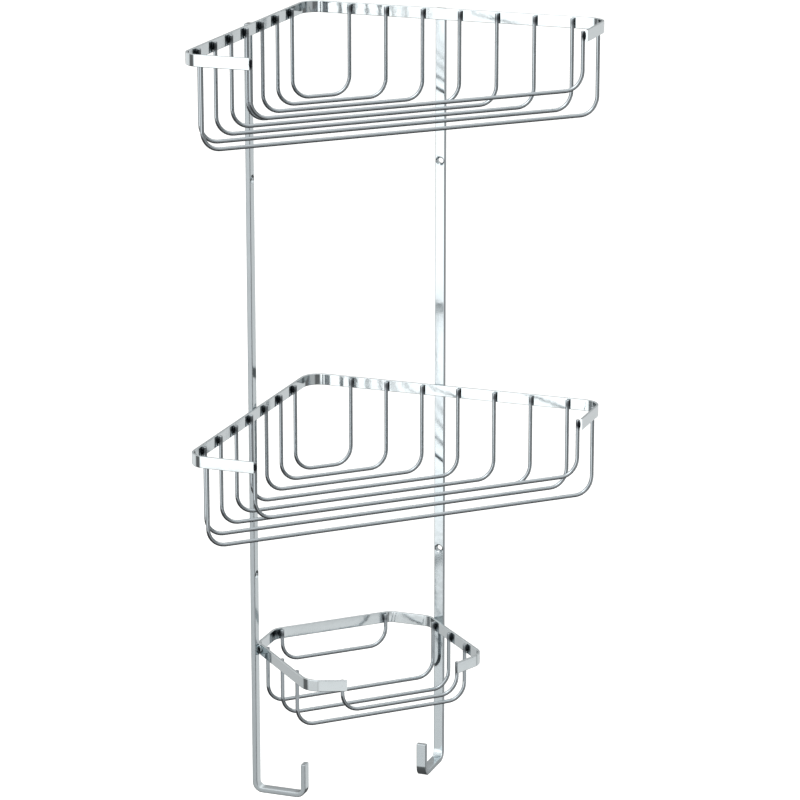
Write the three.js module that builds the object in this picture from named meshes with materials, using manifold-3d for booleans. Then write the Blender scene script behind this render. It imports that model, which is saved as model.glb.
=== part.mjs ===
// Corner shower caddy: two large wire baskets and a small soap basket on two flat uprights.
// Millimetres, +Z up. The walls of the corner are the planes X = 0 and Y = 0, and the caddy is in
// X > 0, Y < 0. The origin is on the corner line, level with the underside of the robe hooks.
// The caddy is the same on both sides of the upright plane that halves the corner (Y = -X).
import * as THREE from 'three';
import * as BufferGeometryUtils from 'three/addons/utils/BufferGeometryUtils.js';
import Module from 'manifold-3d';

const wasm = await Module();
wasm.setup();

// ---- Driving dimensions ----------------------------------------------------------------------
const SEAT_GAP = 0.3;            // clearance between pieces that are welded together

const WIRE_DIAMETER = 3;
const WIRE_BEND_RADIUS = 14;     // centre line
const WIRE_TOP_BELOW_RIM = 1;    // wire ends stop this far under the top edge of the rim

const BAND_HEIGHT = 9;           // flat rim strip
const BAND_THICKNESS = 2;

const BAR_WIDTH = 8;             // flat upright bar
const BAR_THICKNESS = 4;
const BAR_FROM_CORNER = 115;     // corner line to the middle of the bar
const BAR_TOP_BELOW_RIM = 0.5;

const HOOK_REACH = 45;           // wall to the far face of the hook's tip
const HOOK_HEIGHT = 28;          // underside of the hook to the top of its tip
const HOOK_BEND_RADIUS = 8;      // outer radius of both bends

const SCREW_HOLE_DIAMETER = 4.5;
const COUNTERSINK_DIAMETER = 7;
const COUNTERSINK_DEPTH = 1.4;
const UPPER_HOLE_BELOW_TOP_RIM = 115;
const LOWER_HOLE_BELOW_MIDDLE_RIM = 131;

const TOP_RIM_HEIGHT = 610;      // hooks' underside to the middle of the rim strip
const MIDDLE_RIM_HEIGHT = 311;
const BASKET_REACH = 250;        // corner line to the outer face of the rim, along each wall
const RIM_BACK_RADIUS = 14;      // centre lines of the rim's bends
const RIM_FRONT_RADIUS = 14;
const RIM_END_FROM_WALL = 58.5;  // the rim turns in from the wall and stops here
const BASKET_DEPTH = 66;         // middle of the rim to the centre of the bottom wires
const SIDE_WIRES = 7;            // wires whose ends hang on the two wall runs of the rim
const FIRST_WIRE_FROM_CORNER = 42;
const LAST_WIRE_FROM_REACH = 28;  // last side wire to the outer end of the rim
const FRONT_WIRE_PAST_BEND = 0.7; // the front wire hangs on the turned-in rim ends, next to the bend
const RAIL_DROP = 40.5;          // middle of the rim to the centre of the guard rail
const RAIL_FROM_RIM_END = 0.5;   // its legs are welded right at the ends of the rim

const SOAP_RIM_HEIGHT = 117;
const SOAP_RIM_WALL_GAP = 0.5;   // the cut-off back corners of the soap rim run this near the walls
const SOAP_BACK = 52.5;          // these are measured from the corner line, along the mirror plane
const SOAP_FRONT_CORNER = 172.5;
const SOAP_RIM_END = 184.5;
const SOAP_RIM_TURN_IN = 28;     // how far each front end reaches in from its side
const SOAP_RIM_RADIUS = 11;
const SOAP_FRONT_RADIUS = 15;
const SOAP_DEPTH = 42;
const SOAP_WIRES = 3;
const SOAP_FIRST_WIRE_FROM_BACK = 36;
const SOAP_LAST_WIRE_FROM_FRONT = 26;
const SOAP_GUARD_DROP = 22;      // middle of the rim to the centre of the shallow wires
const SOAP_BACK_WIRE_FROM_BEND = 0.7;
const SOAP_GUARD_FROM_RIM_END = 3.5;

// ---- Fineness --------------------------------------------------------------------------------
const WIRE_SIDES = 8;
const WIRE_BEND_STEPS = 5;
const STRIP_BEND_STEP = Math.PI / 16;
const HOLE_SIDES = 24;
const ARC_SEGMENTS = 8;

// ---- Derived ---------------------------------------------------------------------------------
const WIRE_RADIUS = WIRE_DIAMETER / 2;
const BAND_FROM_WALL = BAR_THICKNESS + SEAT_GAP + BAND_THICKNESS / 2;
const STRIP_TO_WIRE = BAND_THICKNESS / 2 + SEAT_GAP + WIRE_RADIUS;
const WIRE_FROM_WALL = BAND_FROM_WALL + STRIP_TO_WIRE;
const BAND_REACH = BASKET_REACH - BAND_THICKNESS / 2;
const STUB_WIRE_REACH = BAND_REACH - STRIP_TO_WIRE;
const WIRE_TOP = BAND_HEIGHT / 2 - WIRE_TOP_BELOW_RIM;
// The soap rim lies between the uprights, and its sides just meet their inner front corners.
const BAR_CORNER_ACROSS = (BAR_FROM_CORNER - BAR_WIDTH / 2 - BAR_THICKNESS) / Math.SQRT2;
const SOAP_HALF_WIDTH = BAR_CORNER_ACROSS - SEAT_GAP - BAND_THICKNESS / 2;
const SOAP_RIM_END_HALF_SPAN = SOAP_HALF_WIDTH - SOAP_RIM_TURN_IN;
const SOAP_CORNER_LINE = (SOAP_RIM_WALL_GAP + BAND_THICKNESS / 2) * Math.SQRT2;
const SOAP_BACK_BEND = SOAP_BACK - SOAP_CORNER_LINE - SOAP_RIM_RADIUS * Math.tan(Math.PI / 8);
const SOAP_FIRST_WIRE = SOAP_BACK + SOAP_FIRST_WIRE_FROM_BACK;
const SOAP_LAST_WIRE = SOAP_FRONT_CORNER - SOAP_LAST_WIRE_FROM_FRONT;
const SOAP_WIRE_PITCH = (SOAP_LAST_WIRE - SOAP_FIRST_WIRE) / (SOAP_WIRES - 1);
const LAST_WIRE = BASKET_REACH - LAST_WIRE_FROM_REACH;
const WIRE_PITCH = (LAST_WIRE - FIRST_WIRE_FROM_CORNER) / (SIDE_WIRES - 1);
const FRONT_WIRE_FROM_WALL = BAND_FROM_WALL + RIM_FRONT_RADIUS + FRONT_WIRE_PAST_BEND;
const SCREW_HOLE_HEIGHTS = [
  MIDDLE_RIM_HEIGHT - LOWER_HOLE_BELOW_MIDDLE_RIM,
  TOP_RIM_HEIGHT - UPPER_HOLE_BELOW_TOP_RIM,
];
const BAR_TOP = TOP_RIM_HEIGHT + BAND_HEIGHT / 2 - BAR_TOP_BELOW_RIM;

const COLOURS = { upright: 0xd9dcde, rim: 0xe4e6e8, wire: 0xc4c8cb };

const group = new THREE.Group();

function addPart(name, geometry, colour) {
  const material = new THREE.MeshStandardMaterial({ color: colour, roughness: 0.08, metalness: 1 });
  const mesh = new THREE.Mesh(geometry, material);
  mesh.name = name;
  group.add(mesh);
}

// A point in plan: "left" is measured along the left wall and "right" along the right wall, both
// from the corner line.
const onFloor = (left, right) => new THREE.Vector2(right, -left);

// The same floor plan turned to the mirror plane: "across" is to the right, "out" is from the corner.
const onDiagonal = (across, out) => onFloor((out - across) / Math.SQRT2, (out + across) / Math.SQRT2);

// ---- Solids from three.js geometry, for manifold-3d --------------------------------------------
function toSolid(geometry) {
  const bare = geometry.clone();
  bare.deleteAttribute('normal');
  bare.deleteAttribute('uv');
  const merged = BufferGeometryUtils.mergeVertices(bare, 1e-4);
  return new wasm.Manifold(new wasm.Mesh({
    numProp: 3,
    vertProperties: new Float32Array(merged.attributes.position.array),
    triVerts: new Uint32Array(merged.index.array),
  }));
}

function toGeometry(solid) {
  const mesh = solid.getMesh();
  const geometry = new THREE.BufferGeometry();
  geometry.setAttribute('position', new THREE.BufferAttribute(mesh.vertProperties, 3));
  geometry.setIndex(new THREE.BufferAttribute(mesh.triVerts, 1));
  return geometry;
}

// ---- Flat strip, standing on edge, that follows corners in plan ---------------------------------
// corners: Vector2 points of the centre line, each inner one with its bend radius in radii.
function centreLine(corners, radii) {
  const stations = [{ point: corners[0], direction: corners[1].clone().sub(corners[0]).normalize() }];
  for (let i = 1; i < corners.length - 1; i += 1) {
    const before = corners[i].clone().sub(corners[i - 1]).normalize();
    const after = corners[i + 1].clone().sub(corners[i]).normalize();
    const turn = Math.atan2(before.cross(after), before.dot(after));
    const start = corners[i].clone().addScaledVector(before, -radii[i - 1] * Math.tan(Math.abs(turn) / 2));
    const toCentre = new THREE.Vector2(-before.y, before.x).multiplyScalar(Math.sign(turn) * radii[i - 1]);
    const centre = start.clone().add(toCentre);
    const steps = Math.max(2, Math.ceil(Math.abs(turn) / STRIP_BEND_STEP));
    for (let k = 0; k <= steps; k += 1) {
      const angle = (turn * k) / steps;
      stations.push({
        point: start.clone().rotateAround(centre, angle),
        direction: before.clone().rotateAround(new THREE.Vector2(), angle),
      });
    }
  }
  const last = corners.length - 1;
  stations.push({
    point: corners[last],
    direction: corners[last].clone().sub(corners[last - 1]).normalize(),
  });
  return stations;
}

function stripGeometry(corners, radii, middleHeight) {
  const stations = centreLine(corners, radii);
  const side = (sign) => stations.map(({ point, direction }) => new THREE.Vector2(
    point.x - direction.y * sign * BAND_THICKNESS / 2,
    point.y + direction.x * sign * BAND_THICKNESS / 2,
  ));
  const outline = new THREE.Shape([...side(1), ...side(-1).reverse()]);
  const strip = new THREE.ExtrudeGeometry(outline, { depth: BAND_HEIGHT, bevelEnabled: false });
  strip.translate(0, 0, middleHeight - BAND_HEIGHT / 2);
  return strip;
}

// ---- Round wire bent into a U --------------------------------------------------------------------
class BentWire extends THREE.Curve {
  constructor(stations) {
    super();
    this.stations = stations;
  }

  station(u) {
    return this.stations[Math.round(u * (this.stations.length - 1))];
  }

  getPointAt(u, target = new THREE.Vector3()) {
    return target.copy(this.station(u).point);
  }

  getTangentAt(u, target = new THREE.Vector3()) {
    return target.copy(this.station(u).tangent);
  }
}

// Down from the first end, across at bottomHeight and up to the second end.
function uWireGeometry(firstEnd, secondEnd, topHeight, bottomHeight) {
  const first = new THREE.Vector3(firstEnd.x, firstEnd.y, topHeight);
  const second = new THREE.Vector3(secondEnd.x, secondEnd.y, topHeight);
  const down = new THREE.Vector3(0, 0, -1);
  const up = new THREE.Vector3(0, 0, 1);
  const across = second.clone().sub(first).normalize();
  const stations = [{ point: first, tangent: down }];
  const bend = (centre, from, to) => {
    for (let k = 0; k <= WIRE_BEND_STEPS; k += 1) {
      const angle = (Math.PI / 2) * (k / WIRE_BEND_STEPS);
      const tangent = from.clone().multiplyScalar(Math.cos(angle)).addScaledVector(to, Math.sin(angle));
      const point = centre.clone()
        .addScaledVector(to, -WIRE_BEND_RADIUS * Math.cos(angle))
        .addScaledVector(from, WIRE_BEND_RADIUS * Math.sin(angle));
      stations.push({ point, tangent });
    }
  };
  const bendHeight = bottomHeight + WIRE_BEND_RADIUS;
  bend(first.clone().setZ(bendHeight).addScaledVector(across, WIRE_BEND_RADIUS), down, across);
  bend(second.clone().setZ(bendHeight).addScaledVector(across, -WIRE_BEND_RADIUS), across, up);
  stations.push({ point: second, tangent: up });

  const section = new THREE.Shape();
  for (let k = 0; k < WIRE_SIDES; k += 1) {
    const angle = (2 * Math.PI * k) / WIRE_SIDES;
    const corner = [WIRE_RADIUS * Math.cos(angle), WIRE_RADIUS * Math.sin(angle)];
    if (k === 0) section.moveTo(...corner);
    else section.lineTo(...corner);
  }
  return new THREE.ExtrudeGeometry(section, {
    steps: stations.length - 1,
    extrudePath: new BentWire(stations),
  });
}

// ---- Uprights: a flat bar on each wall, with its end bent into a robe hook ------------------------
function hookedBarOutline() {
  const outer = HOOK_BEND_RADIUS;
  const inner = HOOK_BEND_RADIUS - BAR_THICKNESS;
  const innerFace = HOOK_REACH - BAR_THICKNESS;
  const outline = new THREE.Shape();
  outline.moveTo(0, BAR_TOP);
  outline.lineTo(0, outer);
  outline.absarc(outer, outer, outer, Math.PI, 1.5 * Math.PI, false);
  outline.absarc(HOOK_REACH - outer, outer, outer, 1.5 * Math.PI, 2 * Math.PI, false);
  outline.lineTo(HOOK_REACH, HOOK_HEIGHT);
  outline.lineTo(innerFace, HOOK_HEIGHT);
  outline.absarc(HOOK_REACH - outer, outer, inner, 0, -0.5 * Math.PI, true);
  outline.absarc(outer, outer, inner, 1.5 * Math.PI, Math.PI, true);
  outline.lineTo(BAR_THICKNESS, BAR_TOP);
  return outline;
}

// A screw hole along +Z with its countersink at the top, for a bar that lies between 0 and
// BAR_THICKNESS.
function screwHoleGeometry() {
  const past = 1;
  const hole = SCREW_HOLE_DIAMETER / 2;
  const sink = COUNTERSINK_DIAMETER / 2;
  const profile = [
    [0, -past],
    [hole, -past],
    [hole, BAR_THICKNESS - COUNTERSINK_DEPTH],
    [sink, BAR_THICKNESS],
    [sink, BAR_THICKNESS + past],
    [0, BAR_THICKNESS + past],
  ].map(([radius, height]) => new THREE.Vector2(radius, height));
  const geometry = new THREE.LatheGeometry(profile, HOLE_SIDES);
  geometry.rotateX(Math.PI / 2);
  return geometry;
}

// The bar stands with its back on the plane X = 0, and its width along Y.
function uprightSolid() {
  const bar = new THREE.ExtrudeGeometry(hookedBarOutline(), {
    depth: BAR_WIDTH,
    bevelEnabled: false,
    curveSegments: ARC_SEGMENTS,
  });
  bar.translate(0, 0, -BAR_WIDTH / 2);
  bar.rotateX(Math.PI / 2);
  let solid = toSolid(bar);
  for (const height of SCREW_HOLE_HEIGHTS) {
    const hole = screwHoleGeometry();
    hole.rotateZ(-Math.PI / 2);
    hole.translate(0, 0, height);
    solid = solid.subtract(toSolid(hole));
  }
  return solid;
}

function addUprights() {
  const bar = toGeometry(uprightSolid());
  const left = bar.clone();
  left.translate(0, -BAR_FROM_CORNER, 0);
  const right = bar.clone();
  right.rotateZ(-Math.PI / 2);
  right.translate(BAR_FROM_CORNER, 0, 0);
  addPart('left_upright', left, COLOURS.upright);
  addPart('right_upright', right, COLOURS.upright);
}

// ---- Large baskets ---------------------------------------------------------------------------------
function basketRimGeometry(rimHeight) {
  const corners = [
    onFloor(BAND_REACH, RIM_END_FROM_WALL),
    onFloor(BAND_REACH, BAND_FROM_WALL),
    onFloor(BAND_FROM_WALL, BAND_FROM_WALL),
    onFloor(BAND_FROM_WALL, BAND_REACH),
    onFloor(RIM_END_FROM_WALL, BAND_REACH),
  ];
  return stripGeometry(corners, [RIM_FRONT_RADIUS, RIM_BACK_RADIUS, RIM_FRONT_RADIUS], rimHeight);
}

function addBasket(prefix, rimHeight) {
  const top = rimHeight + WIRE_TOP;
  const bottom = rimHeight - BASKET_DEPTH;
  addPart(`${prefix}_rim_band`, basketRimGeometry(rimHeight), COLOURS.rim);
  for (let i = 0; i < SIDE_WIRES; i += 1) {
    const along = FIRST_WIRE_FROM_CORNER + i * WIRE_PITCH;
    const wire = uWireGeometry(onFloor(along, WIRE_FROM_WALL), onFloor(WIRE_FROM_WALL, along), top, bottom);
    addPart(`${prefix}_basket_wire_${i + 1}`, wire, COLOURS.wire);
  }
  const front = uWireGeometry(
    onFloor(STUB_WIRE_REACH, FRONT_WIRE_FROM_WALL),
    onFloor(FRONT_WIRE_FROM_WALL, STUB_WIRE_REACH),
    top,
    bottom,
  );
  addPart(`${prefix}_basket_wire_${SIDE_WIRES + 1}`, front, COLOURS.wire);
  const railLeg = RIM_END_FROM_WALL - RAIL_FROM_RIM_END;
  const rail = uWireGeometry(
    onFloor(STUB_WIRE_REACH, railLeg),
    onFloor(railLeg, STUB_WIRE_REACH),
    top,
    rimHeight - RAIL_DROP,
  );
  addPart(`${prefix}_guard_rail`, rail, COLOURS.wire);
}

// ---- Soap basket -----------------------------------------------------------------------------------
// The back corners of its rim are cut off along the walls, where across = out - SOAP_CORNER_LINE.
function soapRimCorners() {
  const half = [
    [SOAP_RIM_END_HALF_SPAN, SOAP_RIM_END],
    [SOAP_HALF_WIDTH, SOAP_FRONT_CORNER],
    [SOAP_HALF_WIDTH, SOAP_HALF_WIDTH + SOAP_CORNER_LINE],
    [SOAP_BACK - SOAP_CORNER_LINE, SOAP_BACK],
  ];
  const right = half.map(([across, out]) => onDiagonal(across, out));
  const left = half.map(([across, out]) => onDiagonal(-across, out)).reverse();
  return [...right, ...left];
}

function addSoapBasket() {
  const top = SOAP_RIM_HEIGHT + WIRE_TOP;
  const radii = [SOAP_FRONT_RADIUS, SOAP_RIM_RADIUS, SOAP_RIM_RADIUS];
  const rim = stripGeometry(soapRimCorners(), [...radii, ...radii.slice().reverse()], SOAP_RIM_HEIGHT);
  addPart('soap_rim_band', rim, COLOURS.rim);

  const spanWire = (halfSpan, out, drop) => uWireGeometry(
    onDiagonal(-halfSpan, out),
    onDiagonal(halfSpan, out),
    top,
    SOAP_RIM_HEIGHT - drop,
  );
  const back = spanWire(SOAP_BACK_BEND - SOAP_BACK_WIRE_FROM_BEND, SOAP_BACK + STRIP_TO_WIRE, SOAP_GUARD_DROP);
  addPart('soap_back_wire', back, COLOURS.wire);
  for (let i = 0; i < SOAP_WIRES; i += 1) {
    const out = SOAP_FIRST_WIRE + i * SOAP_WIRE_PITCH;
    const wire = spanWire(SOAP_HALF_WIDTH - STRIP_TO_WIRE, out, SOAP_DEPTH);
    addPart(`soap_wire_${i + 1}`, wire, COLOURS.wire);
  }
  const stub = new THREE.Vector2(
    SOAP_HALF_WIDTH - SOAP_RIM_END_HALF_SPAN,
    SOAP_FRONT_CORNER - SOAP_RIM_END,
  ).normalize();
  const halfSpan = SOAP_RIM_END_HALF_SPAN + stub.x * SOAP_GUARD_FROM_RIM_END + stub.y * STRIP_TO_WIRE;
  const out = SOAP_RIM_END + stub.y * SOAP_GUARD_FROM_RIM_END - stub.x * STRIP_TO_WIRE;
  addPart('soap_front_wire', spanWire(halfSpan, out, SOAP_GUARD_DROP), COLOURS.wire);
}

addUprights();
addBasket('top', TOP_RIM_HEIGHT);
addBasket('middle', MIDDLE_RIM_HEIGHT);
addSoapBasket();

export default group;
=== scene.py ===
"""A chrome corner shower caddy: two wire baskets and a soap basket on two flat uprights.

The walls of the corner would be the planes X = 0 and Y = 0, and the caddy is in X > 0, Y < 0.
"Left" pieces are against the wall X = 0, and "right" pieces against the wall Y = 0.
"""

import math

import bpy
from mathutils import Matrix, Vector


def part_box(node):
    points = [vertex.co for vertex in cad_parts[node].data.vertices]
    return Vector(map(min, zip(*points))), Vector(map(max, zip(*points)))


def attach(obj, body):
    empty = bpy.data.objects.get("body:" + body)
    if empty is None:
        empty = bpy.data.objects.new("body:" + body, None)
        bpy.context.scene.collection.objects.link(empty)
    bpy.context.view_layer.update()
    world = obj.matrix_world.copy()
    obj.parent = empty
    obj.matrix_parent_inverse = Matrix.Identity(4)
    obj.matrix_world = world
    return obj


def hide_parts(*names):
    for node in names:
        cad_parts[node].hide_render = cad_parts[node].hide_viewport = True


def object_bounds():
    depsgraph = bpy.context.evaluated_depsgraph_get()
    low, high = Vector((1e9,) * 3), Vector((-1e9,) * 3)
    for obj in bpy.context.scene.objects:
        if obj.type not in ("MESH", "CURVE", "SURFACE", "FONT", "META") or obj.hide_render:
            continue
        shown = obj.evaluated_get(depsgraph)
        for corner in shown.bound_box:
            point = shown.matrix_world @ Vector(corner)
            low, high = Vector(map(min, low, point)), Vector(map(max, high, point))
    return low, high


MM = 0.001

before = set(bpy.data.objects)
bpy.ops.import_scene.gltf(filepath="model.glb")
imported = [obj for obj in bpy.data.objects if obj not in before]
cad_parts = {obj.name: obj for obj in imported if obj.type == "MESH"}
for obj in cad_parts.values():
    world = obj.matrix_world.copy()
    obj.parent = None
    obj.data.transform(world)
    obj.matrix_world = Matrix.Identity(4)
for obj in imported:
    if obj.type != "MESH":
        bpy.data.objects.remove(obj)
cad_box = [list(corner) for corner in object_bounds()]

# ---- Sizes that the frame's boxes don't give ----------------------------------------------------
SEAT_GAP = 0.3 * MM
WIRE_DIAMETER = 3 * MM
WIRE_BEND_RADIUS = 14 * MM
BAND_THICKNESS = 2 * MM
BAND_EDGE_RADIUS = 0.45 * MM
RIM_BEND_RADIUS = 14 * MM
RIM_END_PAST_RAIL = 0.5 * MM       # the rim's two ends reach this far past the guard rail's legs

BAR_THICKNESS = 4 * MM
BAR_EDGE_RADIUS = 0.7 * MM
HOOK_BEND_RADIUS = 6 * MM          # centre line
HOOK_HEIGHT = 28 * MM
HOLE_DIAMETER = 4.5 * MM
SINK_DIAMETER = 7 * MM
SINK_DEPTH = 1.4 * MM
UPPER_HOLE_BELOW_TOP_RIM = 115 * MM
LOWER_HOLE_BELOW_MIDDLE_RIM = 131 * MM

# The soap rim is measured on the plane that halves the corner: out from the corner, and across.
SOAP_WALL_GAP = 0.5 * MM
SOAP_BACK = 52.5 * MM
SOAP_FRONT_CORNER = 172.5 * MM
SOAP_RIM_END = 184.5 * MM
SOAP_TURN_IN = 28 * MM
SOAP_RIM_RADIUS = 11 * MM
SOAP_FRONT_RADIUS = 15 * MM

WELD_BEAD = Vector((1.7, 3.1, 6.4)) * MM     # through the joint, along the band, up
WELD_PAD = Vector((1.2, 6.4, 6.8)) * MM      # between an upright and a rim
# The smallest and the largest bead, as shares of the sizes above.
BEAD_SHARES = ((0.97, 0.85, 0.85), (1.03, 1.1, 1.1))

WIRE_DEBURR = 0.4 * MM             # radii of the rounded cut ends
STRIP_DEBURR = 0.25 * MM
BAR_DEBURR = 0.4 * MM

PIECE_STEP = 2 * MM                # spacing of the rings along a bent piece
BEND_SEGMENTS = 16
EDGE_SEGMENTS = 3                  # in each rounded edge of a flat section
WIRE_SIDES = 20
HOLE_SIDES = 40
SLIVER = 0.02 * MM                 # corners closer than this are made one after the holes are cut

BASKET_WIRES = 8                   # in each large basket, without its guard rail
FIRST_SOAP_SEED = 20


# ---- Points in plan ------------------------------------------------------------------------------
def on_floor(left, right):
    """A point this far from the corner along the left wall and along the right wall."""
    return Vector((right, -left, 0))


def on_diagonal(across, out):
    return on_floor((out - across) / math.sqrt(2), (out + across) / math.sqrt(2))


def nearest_on_line(corners, point):
    """The point of a line of corners in plan that is nearest to a point."""
    best = None
    for start, end in zip(corners, corners[1:]):
        along = end - start
        share = max(0.0, min(1.0, (point - start).dot(along) / along.length_squared))
        foot = start + along * share
        if best is None or (foot - point).length < (best - point).length:
            best = foot
    return best


# ---- Where each piece runs, from the frame ---------------------------------------------------------
left_low, left_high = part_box("left_upright")
BAR_MIDDLE = -(left_low.y + left_high.y) / 2
BAR_WIDTH = left_high.y - left_low.y
BAND_FROM_WALL = BAR_THICKNESS + SEAT_GAP + BAND_THICKNESS / 2


def rim_height(name):
    low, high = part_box(name)
    return (low.z + high.z) / 2


def basket_rim_corners(basket):
    """The centre line of a large rim: its end on the left, round the corner to its end on the right."""
    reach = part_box(f"{basket}_rim_band")[1].x - BAND_THICKNESS / 2
    end = wire_legs(f"{basket}_guard_rail")[0].x + RIM_END_PAST_RAIL
    return [
        on_floor(reach, end),
        on_floor(reach, BAND_FROM_WALL),
        on_floor(BAND_FROM_WALL, BAND_FROM_WALL),
        on_floor(BAND_FROM_WALL, reach),
        on_floor(end, reach),
    ]


def soap_rim_corners():
    """The centre line of the soap rim, which lies between the uprights' inner front corners."""
    bar_corner = (BAR_MIDDLE - BAR_WIDTH / 2 - BAR_THICKNESS) / math.sqrt(2)
    half = bar_corner - SEAT_GAP - BAND_THICKNESS / 2
    cut = (SOAP_WALL_GAP + BAND_THICKNESS / 2) * math.sqrt(2)
    one_side = [
        (half - SOAP_TURN_IN, SOAP_RIM_END),
        (half, SOAP_FRONT_CORNER),
        (half, half + cut),
        (SOAP_BACK - cut, SOAP_BACK),
    ]
    left = [on_diagonal(-across, out) for across, out in one_side]
    right = [on_diagonal(across, out) for across, out in reversed(one_side)]
    return left + right


def wire_legs(name):
    """The tops of the two legs of a bent wire, on its centre line."""
    low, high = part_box(name)
    radius = WIRE_DIAMETER / 2
    first = Vector((low.x + radius, low.y + radius, high.z))
    second = Vector((high.x - radius, high.y - radius, high.z))
    return first, second


def wire_line(name):
    first, second = wire_legs(name)
    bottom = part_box(name)[0].z + WIRE_DIAMETER / 2
    return [first, Vector((first.x, first.y, bottom)), Vector((second.x, second.y, bottom)), second]


def wire_welds(name, rim_corners, height):
    """Where the legs are welded to the rim: the middle of each joint, and the way through it."""
    welds = []
    for leg in wire_legs(name):
        leg_in_plan = Vector((leg.x, leg.y, 0))
        towards_rim = (nearest_on_line(rim_corners, leg_in_plan) - leg_in_plan).normalized()
        place = leg_in_plan + towards_rim * (WIRE_DIAMETER + SEAT_GAP) / 2
        welds.append((Vector((place.x, place.y, height)), towards_rim))
    return welds


def upright_line(side):
    """Down the wall, round the hook and up its tip."""
    low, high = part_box(f"{side}_upright")
    middle = BAR_THICKNESS / 2
    reach = max(high.x - low.x, high.y - low.y) - middle
    line = []
    for out, height in [(middle, high.z), (middle, middle), (reach, middle), (reach, HOOK_HEIGHT)]:
        place = on_floor(BAR_MIDDLE, out) if side == "left" else on_floor(out, BAR_MIDDLE)
        line.append(Vector((place.x, place.y, height)))
    return line


# ---- Node helpers --------------------------------------------------------------------------------
def add_node(tree, kind, settings=None, links=None):
    """Adds a node. Settings are properties or unlinked inputs, links join its inputs to outputs."""
    node = tree.nodes.new(kind)
    for name, value in (settings or {}).items():
        if isinstance(name, str) and name in node.bl_rna.properties:
            setattr(node, name, value)
        else:
            node.inputs[name].default_value = value
    for name, output in (links or {}).items():
        tree.links.new(output, node.inputs[name])
    return node


def linear(hex_colour):
    """An sRGB colour such as "c4c8cb" as linear RGBA."""
    channels = [int(hex_colour[i:i + 2], 16) / 255 for i in (0, 2, 4)]
    return [c / 12.92 if c <= 0.04045 else ((c + 0.055) / 1.055) ** 2.4 for c in channels] + [1.0]


# ---- Bent metal: a section swept along a blank's line, with its weld metal ---------------------------
def new_tree(name, inputs):
    tree = bpy.data.node_groups.new(name, "GeometryNodeTree")
    for input_name, kind in inputs:
        tree.interface.new_socket(input_name, in_out="INPUT", socket_type=f"NodeSocket{kind}")
    tree.interface.new_socket("Geometry", in_out="OUTPUT", socket_type="NodeSocketGeometry")
    return tree


def attribute(tree, name, kind="FLOAT"):
    node = add_node(tree, "GeometryNodeInputNamedAttribute", {"data_type": kind, "Name": name})
    return node.outputs["Attribute"]


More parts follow.
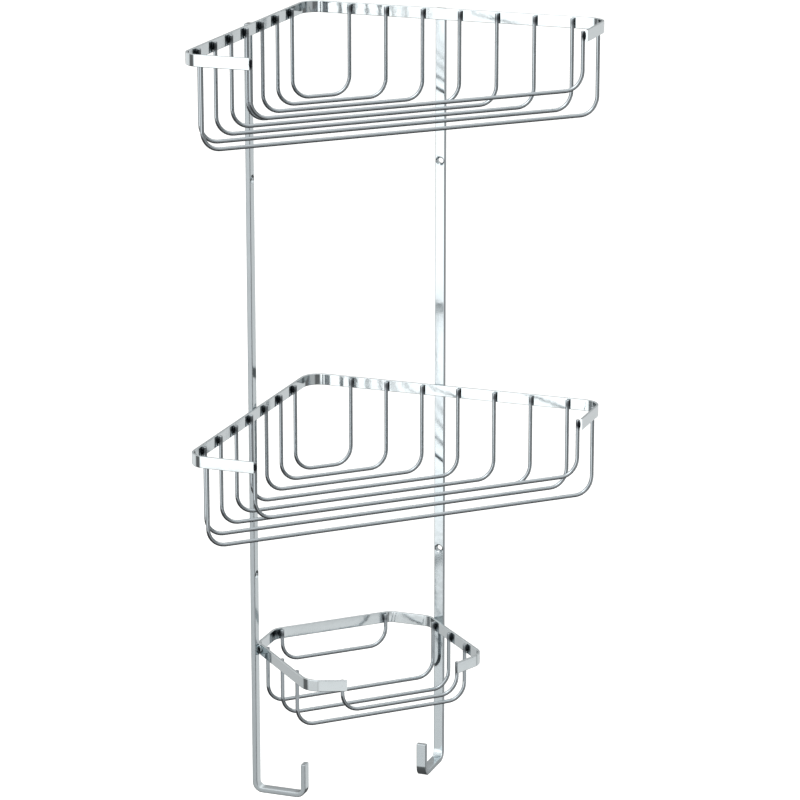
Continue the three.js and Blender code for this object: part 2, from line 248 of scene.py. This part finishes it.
def bent_piece_tree(name, flat):
    """Sweeps a round or flat section along the blank's edges, and lays beads at its loose points.

    The blank's points carry "bend_radius", "is_weld", "has_bead" and "bead_turn". The result keeps
    "section" (its place in the section, and the length from the first end) and "weld_distance".
    """
    if flat:
        sizes = [
            ("Thickness", "Float"),
            ("Width", "Float"),
            ("Edge radius", "Float"),
            ("Width direction", "Vector"),
        ]
    else:
        sizes = [("Diameter", "Float")]
    tree = new_tree(name, [
        ("Geometry", "Geometry"),
        *sizes,
        ("Step", "Float"),
        ("Bead size", "Vector"),
        ("Seed", "Int"),
        ("Metal", "Material"),
    ])
    given = add_node(tree, "NodeGroupInput").outputs
    parts = add_node(tree, "GeometryNodeSeparateGeometry", {"domain": "POINT"}, {
        "Geometry": given["Geometry"],
        "Selection": attribute(tree, "is_weld", "BOOLEAN"),
    })
    welds = parts.outputs["Selection"]

    line = add_node(tree, "GeometryNodeMeshToCurve", links={"Mesh": parts.outputs["Inverted"]})
    bent = add_node(tree, "GeometryNodeFilletCurve", {"mode": "POLY", "Count": BEND_SEGMENTS}, {
        "Curve": line.outputs["Curve"],
        "Radius": attribute(tree, "bend_radius"),
    })
    even = add_node(tree, "GeometryNodeResampleCurve", {"mode": "LENGTH"}, {
        "Curve": bent.outputs["Curve"],
        "Length": given["Step"],
    })
    path = even.outputs["Curve"]
    if flat:
        box = add_node(tree, "GeometryNodeCurvePrimitiveQuadrilateral", links={
            "Width": given["Width"],
            "Height": given["Thickness"],
        })
        rounded = add_node(tree, "GeometryNodeFilletCurve", {"mode": "POLY", "Count": EDGE_SEGMENTS}, {
            "Curve": box.outputs["Curve"],
            "Radius": given["Edge radius"],
        })
        # Points on the flat faces too, where the distance to a weld is noted.
        divided = add_node(tree, "GeometryNodeSubdivideCurve", {"Cuts": 1}, {
            "Curve": rounded.outputs["Curve"],
        })
        section = divided.outputs["Curve"]
        turned = add_node(tree, "GeometryNodeSetCurveNormal", {"mode": "FREE"}, {
            "Curve": path,
            "Normal": given["Width direction"],
        })
        path = turned.outputs["Curve"]
    else:
        radius = add_node(tree, "ShaderNodeMath", {"operation": "MULTIPLY", 1: 0.5}, {
            0: given["Diameter"],
        })
        circle = add_node(tree, "GeometryNodeCurvePrimitiveCircle", {"Resolution": WIRE_SIDES}, {
            "Radius": radius.outputs["Value"],
        })
        section = circle.outputs["Curve"]

    length = add_node(tree, "GeometryNodeSplineParameter").outputs["Length"]
    path_kept = add_node(tree, "GeometryNodeStoreNamedAttribute", {
        "data_type": "FLOAT",
        "domain": "POINT",
        "Name": "length_along",
    }, {"Geometry": path, "Value": length})
    place = add_node(tree, "GeometryNodeInputPosition").outputs["Position"]
    section_kept = add_node(tree, "GeometryNodeStoreNamedAttribute", {
        "data_type": "FLOAT_VECTOR",
        "domain": "POINT",
        "Name": "section",
    }, {"Geometry": section, "Value": place})
    swept = add_node(tree, "GeometryNodeCurveToMesh", {"Fill Caps": True}, {
        "Curve": path_kept.outputs["Geometry"],
        "Profile Curve": section_kept.outputs["Geometry"],
    })

    # A ball with a diameter of 1, which the bead's size stretches.
    ball = add_node(tree, "GeometryNodeMeshUVSphere", {"Segments": 16, "Rings": 10, "Radius": 0.5})
    shaped = add_node(tree, "GeometryNodeTransform", links={
        "Geometry": ball.outputs["Mesh"],
        "Scale": given["Bead size"],
    })
    turn = add_node(tree, "ShaderNodeCombineXYZ", links={"Z": attribute(tree, "bead_turn")})
    uneven = add_node(tree, "FunctionNodeRandomValue", {
        "data_type": "FLOAT_VECTOR",
        0: BEAD_SHARES[0],
        1: BEAD_SHARES[1],
    }, {"Seed": given["Seed"]})
    beads = add_node(tree, "GeometryNodeInstanceOnPoints", links={
        "Points": welds,
        "Selection": attribute(tree, "has_bead", "BOOLEAN"),
        "Instance": shaped.outputs["Geometry"],
        "Rotation": turn.outputs["Vector"],
        "Scale": uneven.outputs["Value"],
    })
    joined = add_node(tree, "GeometryNodeJoinGeometry", links={"Geometry": beads.outputs["Instances"]})
    tree.links.new(swept.outputs["Mesh"], joined.inputs["Geometry"])
    real = add_node(tree, "GeometryNodeRealizeInstances", links={
        "Geometry": joined.outputs["Geometry"],
    })

    near = add_node(tree, "GeometryNodeProximity", {"target_element": "POINTS"}, {"Geometry": welds})
    measured = add_node(tree, "GeometryNodeStoreNamedAttribute", {
        "data_type": "FLOAT",
        "domain": "POINT",
        "Name": "weld_distance",
    }, {"Geometry": real.outputs["Geometry"], "Value": near.outputs["Distance"]})
    smooth = add_node(tree, "GeometryNodeSetShadeSmooth", links={
        "Geometry": measured.outputs["Geometry"],
    })
    finish = add_node(tree, "GeometryNodeSetMaterial", links={
        "Geometry": smooth.outputs["Geometry"],
        "Material": given["Metal"],
    })
    output = add_node(tree, "NodeGroupOutput")
    tree.links.new(finish.outputs["Geometry"], output.inputs["Geometry"])
    return tree


def drill_tree():
    """Cuts two countersunk screw holes into a bar, from its front face."""
    tree = new_tree("countersunk_holes", [
        ("Geometry", "Geometry"),
        ("Lower hole", "Vector"),
        ("Upper hole", "Vector"),
        ("Out of the wall", "Vector"),
        ("Hole radius", "Float"),
        ("Sink radius", "Float"),
        ("Sink depth", "Float"),
        ("Drill length", "Float"),
        ("Metal", "Material"),
    ])
    given = add_node(tree, "NodeGroupInput").outputs
    drill = add_node(tree, "GeometryNodeMeshCylinder", {"Vertices": HOLE_SIDES}, {
        "Radius": given["Hole radius"],
        "Depth": given["Drill length"],
    })
    sink = add_node(tree, "GeometryNodeMeshCone", {"Vertices": HOLE_SIDES}, {
        "Radius Top": given["Sink radius"],
        "Radius Bottom": given["Hole radius"],
        "Depth": given["Sink depth"],
    })
    down = add_node(tree, "ShaderNodeMath", {"operation": "MULTIPLY", 1: -1.0}, {
        0: given["Sink depth"],
    })
    offset = add_node(tree, "ShaderNodeCombineXYZ", links={"Z": down.outputs["Value"]})
    lowered = add_node(tree, "GeometryNodeTransform", links={
        "Geometry": sink.outputs["Mesh"],
        "Translation": offset.outputs["Vector"],
    })
    both = add_node(tree, "GeometryNodeJoinGeometry", links={"Geometry": drill.outputs["Mesh"]})
    tree.links.new(lowered.outputs["Geometry"], both.inputs["Geometry"])
    places = add_node(tree, "GeometryNodeMeshLine", {"mode": "END_POINTS", "Count": 2}, {
        "Start Location": given["Lower hole"],
        "Offset": given["Upper hole"],
    })
    turned = add_node(tree, "FunctionNodeAlignRotationToVector", {"axis": "Z"}, {
        "Vector": given["Out of the wall"],
    })
    cutters = add_node(tree, "GeometryNodeInstanceOnPoints", links={
        "Points": places.outputs["Mesh"],
        "Instance": both.outputs["Geometry"],
        "Rotation": turned.outputs["Rotation"],
    })
    solid_cutters = add_node(tree, "GeometryNodeRealizeInstances", links={
        "Geometry": cutters.outputs["Instances"],
    })
    drilled = add_node(tree, "GeometryNodeMeshBoolean", {
        "operation": "DIFFERENCE",
        "solver": "EXACT",
        "Self Intersection": True,
    }, {"Mesh 1": given["Geometry"], "Mesh 2": solid_cutters.outputs["Geometry"]})
    # The cut leaves slivers of a few micrometres beside the holes.
    clean = add_node(tree, "GeometryNodeMergeByDistance", {"Distance": SLIVER}, {
        "Geometry": drilled.outputs["Mesh"],
    })
    finish = add_node(tree, "GeometryNodeSetMaterial", links={
        "Geometry": clean.outputs["Geometry"],
        "Material": given["Metal"],
    })
    output = add_node(tree, "NodeGroupOutput")
    tree.links.new(finish.outputs["Geometry"], output.inputs["Geometry"])
    return tree


# ---- Blanks and finished pieces ------------------------------------------------------------------
def blank(name, line, bends, welds):
    """The line that a piece is bent along, with its bend radii, and a loose point at each weld.

    welds: (place, way through the joint, whether this piece carries the bead).
    """
    mesh = bpy.data.meshes.new(f"{name}_blank")
    points = [*line, *(place for place, _, _ in welds)]
    mesh.from_pydata(points, [(i, i + 1) for i in range(len(line) - 1)], [])
    loose = len(welds)
    values = {
        "bend_radius": ("FLOAT", [0.0, *bends, 0.0] + [0.0] * loose),
        "is_weld": ("BOOLEAN", [False] * len(line) + [True] * loose),
        "has_bead": ("BOOLEAN", [False] * len(line) + [bead for _, _, bead in welds]),
        "bead_turn": ("FLOAT", [0.0] * len(line) + [math.atan2(way.y, way.x) for _, way, _ in welds]),
    }
    for attribute_name, (kind, numbers) in values.items():
        mesh.attributes.new(attribute_name, kind, "POINT").data.foreach_set("value", numbers)
    return mesh


def add_tree(worker, tree, inputs):
    """A Geometry Nodes modifier with these inputs set."""
    modifier = worker.modifiers.new(tree.name, "NODES")
    modifier.node_group = tree
    for socket in tree.interface.items_tree:
        if socket.name in inputs:
            value = inputs[socket.name]
            modifier[socket.identifier] = list(value) if isinstance(value, Vector) else value


def round_cut_ends(worker, radius):
    """Deburred ends: only the sharp edges of the cut faces are rounded."""
    bevel = worker.modifiers.new("deburr", "BEVEL")
    bevel.limit_method = "ANGLE"
    bevel.angle_limit = math.radians(50)
    bevel.width = radius
    bevel.segments = 3


def finished_piece(worker, node, metal):
    """The worker's evaluated shape as a plain mesh that stands for the CAD node."""
    flat_faces = worker.modifiers.new("even_normals", "WEIGHTED_NORMAL")
    flat_faces.keep_sharp = True
    evaluated = worker.evaluated_get(bpy.context.evaluated_depsgraph_get())
    mesh = bpy.data.meshes.new_from_object(evaluated)
    mesh.name = f"plated_{node}"
    mesh.materials.clear()             # one slot only: the tree's primitives bring an empty one
    mesh.materials.append(metal)
    bpy.data.objects.remove(worker)
    piece = bpy.data.objects.new(f"plated_{node}", mesh)
    bpy.context.scene.collection.objects.link(piece)
    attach(piece, "root")
    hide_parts(node)
    return piece


def new_worker(mesh):
    worker = bpy.data.objects.new(mesh.name, mesh)
    bpy.context.scene.collection.objects.link(worker)
    return worker


# ---- Metals ----------------------------------------------------------------------------------------
LINE_STRETCH = 60.0                # a drawn line is this many times as long as it is wide
SWELL_SPACING = 6 * MM             # of the polished steel's slow rises
SWELL_HEIGHT = 0.03 * MM
POLISH_PATCH = 20 * MM             # the polish varies over some such length
POLISH_SHARES = (0.7, 1.4)         # from the best to the dullest patch
WELD_SHADE_BORDER = 1.6 * MM             # how unevenly the painted weld shade ends
WELD_SHADE_CORE = 0.4                    # this share of its reach gets the full painted shade
WELD_ROUGHNESS = 0.14              # added on the weld
EDGE_FADE = 0.2 * MM               # from a polished face to its rolled edge
# Rolled edges: this much rougher, and their colour this share darker, a painted shade for thin grey
# edge lines.
EDGE_SHADE_AND_DULLNESS = 0.3
NO_EDGE = 1.0                      # for round wire: 1 m from its middle is past all of it


def bright_chrome(name, colour, dark, weld_shade_reach, edge, polish, line_spacing, line_depth):
    """Decorative chrome over nickel on steel: a mirror that takes its greys from the room.

    The plating follows the steel below it, so it keeps faint lines along the length from drawing or
    rolling, and the slow swell of a hand-polished surface. Besides the greys from the room, some
    shade is painted into the colour: round each weld, as far as the weld reach given, the colour goes
    towards dark, a painted shade and painted reflection where the joints show dark, and the metal
    there is rougher too. Past edge, from the middle of a flat section, the rolled edges are rougher
    than the faces, and their colour is painted darker: painted shade for thin grey edge lines. polish
    is the mirror's roughness; lengths are in metres.
    """
    material = bpy.data.materials.new(name)
    material.use_nodes = True
    tree = material.node_tree
    tree.nodes.clear()
    section = add_node(tree, "ShaderNodeAttribute", {"attribute_name": "section"})
    length = add_node(tree, "ShaderNodeAttribute", {"attribute_name": "length_along"})
    place = add_node(tree, "ShaderNodeTexCoord").outputs["Object"]
    weld = add_node(tree, "ShaderNodeAttribute", {"attribute_name": "weld_distance"})

    # Lines: fine across the section, and long.
    across = add_node(tree, "ShaderNodeSeparateXYZ", links={"Vector": section.outputs["Vector"]})
    slow = add_node(tree, "ShaderNodeMath", {"operation": "DIVIDE", 1: LINE_STRETCH}, {
        0: length.outputs["Fac"],
    })
    along = add_node(tree, "ShaderNodeCombineXYZ", links={
        "X": across.outputs["X"],
        "Y": across.outputs["Y"],
        "Z": slow.outputs["Value"],
    })
    lines = add_node(tree, "ShaderNodeTexNoise", {"Scale": 1 / line_spacing, "Detail": 3.0}, {
        "Vector": along.outputs["Vector"],
    })
    swell = add_node(tree, "ShaderNodeTexNoise", {"Scale": 1 / SWELL_SPACING, "Detail": 1.0}, {
        "Vector": place,
    })
    patches = add_node(tree, "ShaderNodeTexNoise", {"Scale": 1 / POLISH_PATCH, "Detail": 2.0}, {
        "Vector": place,
    })

    line_height = add_node(tree, "ShaderNodeMath", {"operation": "MULTIPLY", 1: line_depth}, {
        0: lines.outputs["Fac"],
    })
    surface = add_node(tree, "ShaderNodeMath", {"operation": "MULTIPLY_ADD", 1: SWELL_HEIGHT}, {
        0: swell.outputs["Fac"],
        2: line_height.outputs["Value"],
    })
    bump = add_node(tree, "ShaderNodeBump", {"Strength": 1.0, "Distance": 1.0}, {
        "Height": surface.outputs["Value"],
    })

    # Painted shade round each weld, and rougher metal there: full on the weld itself, gone at its
    # reach, with an uneven border.
    ragged = add_node(tree, "ShaderNodeMath", {"operation": "MULTIPLY_ADD", 1: WELD_SHADE_BORDER}, {
        0: swell.outputs["Fac"],
        2: weld.outputs["Fac"],
    })
    weld_shade_and_roughness = add_node(tree, "ShaderNodeMapRange", {
        "interpolation_type": "SMOOTHSTEP",
        "From Min": weld_shade_reach + WELD_SHADE_BORDER / 2,
        "From Max": weld_shade_reach * WELD_SHADE_CORE + WELD_SHADE_BORDER / 2,
    }, {"Value": ragged.outputs["Value"]})
    # Rolled edges are rougher than the faces, and their colour is painted darker: painted shade.
    from_middle = add_node(tree, "ShaderNodeMath", {"operation": "ABSOLUTE"}, {0: across.outputs["X"]})
    edge_shade_and_roughness = add_node(tree, "ShaderNodeMapRange", {
        "From Min": edge,
        "From Max": edge + EDGE_FADE,
        "To Max": EDGE_SHADE_AND_DULLNESS,
    }, {"Value": from_middle.outputs["Value"]})
    # Painted shade: the larger share of the weld's and the edge's; the colour below goes towards dark
    # by it.
    painted_shade_share = add_node(tree, "ShaderNodeMath", {"operation": "MAXIMUM"}, {
        0: weld_shade_and_roughness.outputs["Result"],
        1: edge_shade_and_roughness.outputs["Result"],
    })
    tint = add_node(tree, "ShaderNodeMix", {"data_type": "RGBA", 6: linear(colour), 7: linear(dark)}, {
        0: painted_shade_share.outputs["Value"],
    })
    polished = add_node(tree, "ShaderNodeMapRange", {
        "From Min": 0.3,
        "From Max": 0.7,
        "To Min": polish * POLISH_SHARES[0],
        "To Max": polish * POLISH_SHARES[1],
    }, {"Value": patches.outputs["Fac"]})
    rougher_weld = add_node(tree, "ShaderNodeMath", {"operation": "MULTIPLY_ADD", 1: WELD_ROUGHNESS}, {
        0: weld_shade_and_roughness.outputs["Result"],
        2: polished.outputs["Result"],
    })
    dulled = add_node(tree, "ShaderNodeMath", {"operation": "ADD"}, {
        0: rougher_weld.outputs["Value"],
        1: edge_shade_and_roughness.outputs["Result"],
    })
    metal = add_node(tree, "ShaderNodeBsdfPrincipled", {"Metallic": 1.0}, {
        "Base Color": tint.outputs[2],
        "Roughness": dulled.outputs["Value"],
        "Normal": bump.outputs["Normal"],
    })
    add_node(tree, "ShaderNodeOutputMaterial", links={"Surface": metal.outputs["BSDF"]})
    return material


# The same chrome plates all three pieces; the wire's base colour is set darker than the strip's and the
# bar's, a painted shade on the wires. dark is the colour of the painted weld and edge shade.
wire_chrome = bright_chrome(
    "chrome_on_drawn_wire",
    colour="a6adb1",
    dark="25292d",
    weld_shade_reach=4.8 * MM,
    edge=NO_EDGE,
    polish=0.05,
    line_spacing=0.35 * MM,
    line_depth=0.0008 * MM,
)
rim_chrome = bright_chrome(
    "chrome_on_rolled_strip",
    colour="ced5d7",
    dark="30353a",
    weld_shade_reach=2.3 * MM,
    edge=4.2 * MM,
    polish=0.07,
    line_spacing=0.45 * MM,
    line_depth=0.0006 * MM,
)
bar_chrome = bright_chrome(
    "chrome_on_flat_bar",
    colour="c5cdd0",
    dark="30353a",
    weld_shade_reach=3.0 * MM,
    edge=3.5 * MM,
    polish=0.09,
    line_spacing=0.5 * MM,
    line_depth=0.0006 * MM,
)

# ---- The caddy -------------------------------------------------------------------------------------
wire_tree = bent_piece_tree("bent_wire", flat=False)
strip_tree = bent_piece_tree("bent_strip", flat=True)
holes_tree = drill_tree()


def add_wire(node, rim_corners, height, seed):
    welds = wire_welds(node, rim_corners, height)
    line = wire_line(node)
    worker = new_worker(blank(node, line, [WIRE_BEND_RADIUS] * 2, [(*weld, True) for weld in welds]))
    add_tree(worker, wire_tree, {
        "Diameter": WIRE_DIAMETER,
        "Step": PIECE_STEP,
        "Bead size": WELD_BEAD,
        "Seed": seed,
        "Metal": wire_chrome,
    })
    round_cut_ends(worker, WIRE_DEBURR)
    finished_piece(worker, node, wire_chrome)
    return welds


def add_rim(node, corners, bends, wire_joints, upright_joints):
    height = rim_height(node)
    line = [corner + Vector((0, 0, height)) for corner in corners]
    welds = [(*weld, False) for weld in wire_joints] + [(*weld, True) for weld in upright_joints]
    worker = new_worker(blank(node, line, bends, welds))
    low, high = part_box(node)
    add_tree(worker, strip_tree, {
        "Thickness": BAND_THICKNESS,
        "Width": high.z - low.z,
        "Edge radius": BAND_EDGE_RADIUS,
        "Width direction": Vector((0, 0, 1)),
        "Step": PIECE_STEP,
        "Bead size": WELD_PAD,
        "Seed": 1,
        "Metal": rim_chrome,
    })
    round_cut_ends(worker, STRIP_DEBURR)
    finished_piece(worker, node, rim_chrome)


def upright_joints(height):
    """Where a rim at this height is welded to the front faces of the two uprights."""
    out = BAR_THICKNESS + SEAT_GAP / 2
    left = on_floor(BAR_MIDDLE, out) + Vector((0, 0, height))
    right = on_floor(out, BAR_MIDDLE) + Vector((0, 0, height))
    return [(left, Vector((1, 0, 0))), (right, Vector((0, -1, 0)))]


def soap_joints(corners, height):
    """The soap rim's sides meet the inner front corners of the uprights."""
    joints = []
    inner = BAR_MIDDLE - BAR_WIDTH / 2
    for bar_corner in (on_floor(inner, BAR_THICKNESS), on_floor(BAR_THICKNESS, inner)):
        way = (nearest_on_line(corners, bar_corner) - bar_corner).normalized()
        joints.append((bar_corner + way * SEAT_GAP / 2 + Vector((0, 0, height)), way))
    return joints


def add_upright(side, joints):
    node = f"{side}_upright"
    line = upright_line(side)
    across_bar = Vector((0, 1, 0)) if side == "left" else Vector((1, 0, 0))
    out_of_wall = Vector((1, 0, 0)) if side == "left" else Vector((0, -1, 0))
    face = Vector((line[0].x, line[0].y, 0)) + out_of_wall * BAR_THICKNESS / 2
    welds = [(*joint, False) for joint in joints]
    worker = new_worker(blank(node, line, [HOOK_BEND_RADIUS] * 2, welds))
    add_tree(worker, strip_tree, {
        "Thickness": BAR_THICKNESS,
        "Width": BAR_WIDTH,
        "Edge radius": BAR_EDGE_RADIUS,
        "Width direction": across_bar,
        "Step": PIECE_STEP,
        "Bead size": WELD_PAD,
        "Seed": 1,
        "Metal": bar_chrome,
    })
    round_cut_ends(worker, BAR_DEBURR)
    lower_hole = rim_height("middle_rim_band") - LOWER_HOLE_BELOW_MIDDLE_RIM
    upper_hole = rim_height("top_rim_band") - UPPER_HOLE_BELOW_TOP_RIM
    add_tree(worker, holes_tree, {
        "Lower hole": face + Vector((0, 0, lower_hole)),
        "Upper hole": face + Vector((0, 0, upper_hole)),
        "Out of the wall": out_of_wall,
        "Hole radius": HOLE_DIAMETER / 2,
        "Sink radius": SINK_DIAMETER / 2,
        "Sink depth": SINK_DEPTH,
        "Drill length": 3 * BAR_THICKNESS,
        "Metal": bar_chrome,
    })
    finished_piece(worker, node, bar_chrome)


upright_welds = {"left": [], "right": []}


def note_upright_welds(joints):
    for side, joint in zip(("left", "right"), joints):
        upright_welds[side].append(joint)


for basket in ("top", "middle"):
    rim = f"{basket}_rim_band"
    corners = basket_rim_corners(basket)
    height = rim_height(rim)
    wires = [f"{basket}_basket_wire_{i}" for i in range(1, BASKET_WIRES + 1)]
    wires.append(f"{basket}_guard_rail")
    wire_joints = []
    for seed, wire in enumerate(wires):
        wire_joints += add_wire(wire, corners, height, seed)
    joints = upright_joints(height)
    add_rim(rim, corners, [RIM_BEND_RADIUS] * 3, wire_joints, joints)
    note_upright_welds(joints)

soap_corners = soap_rim_corners()
soap_height = rim_height("soap_rim_band")
soap_wires = ["soap_back_wire", "soap_wire_1", "soap_wire_2", "soap_wire_3", "soap_front_wire"]
soap_wire_joints = []
for seed, wire in enumerate(soap_wires, start=FIRST_SOAP_SEED):
    soap_wire_joints += add_wire(wire, soap_corners, soap_height, seed)
soap_bends = [SOAP_FRONT_RADIUS] + [SOAP_RIM_RADIUS] * 4 + [SOAP_FRONT_RADIUS]
side_joints = soap_joints(soap_corners, soap_height)
add_rim("soap_rim_band", soap_corners, soap_bends, soap_wire_joints, side_joints)
note_upright_welds(side_joints)

for side in ("left", "right"):
    add_upright(side, upright_welds[side])

# ---- Room, light and camera ------------------------------------------------------------------------
FLOOR_BELOW = 0.25
FLOOR_SIZE = 30.0
FLOOR_MOTTLE = 300 * MM
CAMERA_AZIMUTH = 20.2      # degrees, from straight on to the right wall, towards +X
CAMERA_ELEVATION = 15.85
CAMERA_DISTANCE = 2.764
CAMERA_LENS = 164.0
CAMERA_TARGET = Vector((121.1, -110.0, 331.7)) * MM
TENT_STRENGTH = 1.35
TENT_GREY_BELOW = 0.07     # straight down
TENT_GREY_ABOVE = 1.0
# Height from 0 (straight down) through 0.5 (level) to 1 (straight up), and brightness.
TENT_GREYS = ((0.40, 0.13), (0.52, 0.22), (0.68, 0.34), (0.76, 0.95))
# Heights of a direction, from -1 (straight down) to 1 (straight up).
CARDS_FADE_IN = (-0.48, -0.41)
CARDS_CHANGE = (-0.335, -0.285)    # from their low brightness to their high one
CARD_EDGE_OUT = 12         # degrees by which a card's soft edge reaches past its half width
CARD_EDGE_IN = 6
# Azimuth and half width in degrees, and brightness low down and higher up.
CARDS = (
    (-20, 28, 0.66, 1.35),
    (23, 10, 0.78, 0.12),
    (70, 18, 0.70, 0.42),
    (116, 12, 0.70, 0.12),
    (160, 22, 0.62, 0.62),
    (-110, 24, 0.50, 0.75),
)


def matt_white_floor():
    """Matt white painted board, with the paint's faint mottling."""
    material = bpy.data.materials.new("matt_white_paint")
    material.use_nodes = True
    tree = material.node_tree
    tree.nodes.clear()
    place = add_node(tree, "ShaderNodeTexCoord").outputs["Object"]
    mottle = add_node(tree, "ShaderNodeTexNoise", {"Scale": 1 / FLOOR_MOTTLE, "Detail": 2.0}, {
        "Vector": place,
    })
    shade = add_node(tree, "ShaderNodeMix", {
        "data_type": "RGBA",
        6: linear("f4f4f3"),
        7: linear("fbfbfa"),
    }, {0: mottle.outputs["Fac"]})
    paint = add_node(tree, "ShaderNodeBsdfPrincipled", {"Roughness": 0.9}, {
        "Base Color": shade.outputs[2],
    })
    add_node(tree, "ShaderNodeOutputMaterial", links={"Surface": paint.outputs["BSDF"]})
    return material


def add_floor():
    half = FLOOR_SIZE / 2
    height = cad_box[0][2] - FLOOR_BELOW
    mesh = bpy.data.meshes.new("floor")
    sides = [(-half, -half), (half, -half), (half, half), (-half, half)]
    mesh.from_pydata([(x, y, height) for x, y in sides], [], [(0, 1, 2, 3)])
    mesh.materials.append(matt_white_floor())
    floor = bpy.data.objects.new("floor", mesh)
    bpy.context.scene.collection.objects.link(floor)
    floor.visible_glossy = False   # the metal reflects the grey below: bright parts keep dark edges


def toward(azimuth, elevation=0.0):
    """Unit vector at these angles in degrees; azimuth 0 faces the right wall, 90 the left wall."""
    a, e = math.radians(azimuth), math.radians(elevation)
    return Vector((math.sin(a) * math.cos(e), -math.cos(a) * math.cos(e), math.sin(e)))


def light_tent():
    """A white tent above, dark paper below, and soft-edged pale cards standing around the caddy."""
    world = bpy.data.worlds.new("light_tent")
    bpy.context.scene.world = world
    world.use_nodes = True
    tree = world.node_tree
    tree.nodes.clear()
    direction = add_node(tree, "ShaderNodeTexCoord").outputs["Generated"]
    height = add_node(tree, "ShaderNodeSeparateXYZ", links={"Vector": direction}).outputs["Z"]
    share = add_node(tree, "ShaderNodeMapRange", {"From Min": -1.0, "From Max": 1.0}, {
        "Value": height,
    })
    ramp = add_node(tree, "ShaderNodeValToRGB", links={"Fac": share.outputs["Result"]})
    stops = ramp.color_ramp.elements
    stops[0].color = (TENT_GREY_BELOW, TENT_GREY_BELOW, TENT_GREY_BELOW, 1)
    stops[1].color = (TENT_GREY_ABOVE, TENT_GREY_ABOVE, TENT_GREY_ABOVE, 1)
    for position, grey in TENT_GREYS:
        stops.new(position).color = (grey, grey, grey, 1)

    flat = add_node(tree, "ShaderNodeVectorMath", {"operation": "MULTIPLY", 1: (1, 1, 0)}, {
        0: direction,
    })
    level = add_node(tree, "ShaderNodeVectorMath", {"operation": "NORMALIZE"}, {
        0: flat.outputs["Vector"],
    })
    above_floor = add_node(tree, "ShaderNodeMapRange", {
        "interpolation_type": "SMOOTHSTEP",
        "From Min": CARDS_FADE_IN[0],
        "From Max": CARDS_FADE_IN[1],
    }, {"Value": height}).outputs["Result"]
    brightness = ramp.outputs["Color"]
    for azimuth, half_width, low_light, high_light in CARDS:
        facing = add_node(tree, "ShaderNodeVectorMath", {
            "operation": "DOT_PRODUCT",
            1: toward(azimuth),
        }, {0: level.outputs["Vector"]})
        across = add_node(tree, "ShaderNodeMapRange", {
            "interpolation_type": "SMOOTHSTEP",
            "From Min": math.cos(math.radians(half_width + CARD_EDGE_OUT)),
            "From Max": math.cos(math.radians(half_width - CARD_EDGE_IN)),
        }, {"Value": facing.outputs["Value"]})
        upward = add_node(tree, "ShaderNodeMapRange", {
            "interpolation_type": "SMOOTHSTEP",
            "From Min": CARDS_CHANGE[0],
            "From Max": CARDS_CHANGE[1],
            "To Min": low_light,
            "To Max": high_light,
        }, {"Value": height})
        shape = add_node(tree, "ShaderNodeMath", {"operation": "MULTIPLY"}, {
            0: across.outputs["Result"],
            1: above_floor,
        })
        card = add_node(tree, "ShaderNodeMath", {"operation": "MULTIPLY"}, {
            0: shape.outputs["Value"],
            1: upward.outputs["Result"],
        })
        brightness = add_node(tree, "ShaderNodeMath", {"operation": "MAXIMUM"}, {
            0: card.outputs["Value"],
            1: brightness,
        }).outputs["Value"]
    light = add_node(tree, "ShaderNodeBackground", {"Strength": TENT_STRENGTH}, {
        "Color": brightness,
    })
    add_node(tree, "ShaderNodeOutputWorld", links={"Surface": light.outputs["Background"]})


def add_softbox(name, azimuth, elevation, distance, size, brightness):
    """A rectangle of light that faces the caddy and doesn't show itself. size: (width, height)."""
    light = bpy.data.lights.new(name, "AREA")
    light.shape = "RECTANGLE"
    light.size, light.size_y = size
    light.energy = brightness * math.pi * size[0] * size[1]
    softbox = bpy.data.objects.new(name, light)
    way = toward(azimuth, elevation)
    softbox.location = CAMERA_TARGET + way * distance
    softbox.rotation_euler = way.to_track_quat("Z", "Y").to_euler()
    softbox.visible_camera = False
    bpy.context.scene.collection.objects.link(softbox)


def add_camera():
    data = bpy.data.cameras.new("camera")
    data.sensor_width = 36.0
    data.lens = CAMERA_LENS
    data.clip_start = 0.1
    data.clip_end = 100.0
    camera = bpy.data.objects.new("camera", data)
    way = toward(CAMERA_AZIMUTH, CAMERA_ELEVATION)
    camera.location = CAMERA_TARGET + way * CAMERA_DISTANCE
    camera.rotation_euler = way.to_track_quat("Z", "Y").to_euler()
    bpy.context.scene.collection.objects.link(camera)
    bpy.context.scene.camera = camera


add_floor()
light_tent()
add_softbox(
    "softbox_over", azimuth=10, elevation=70, distance=1.8, size=(1.2, 1.2), brightness=2.0)
add_camera()
bpy.context.scene.view_settings.view_transform = "Standard"
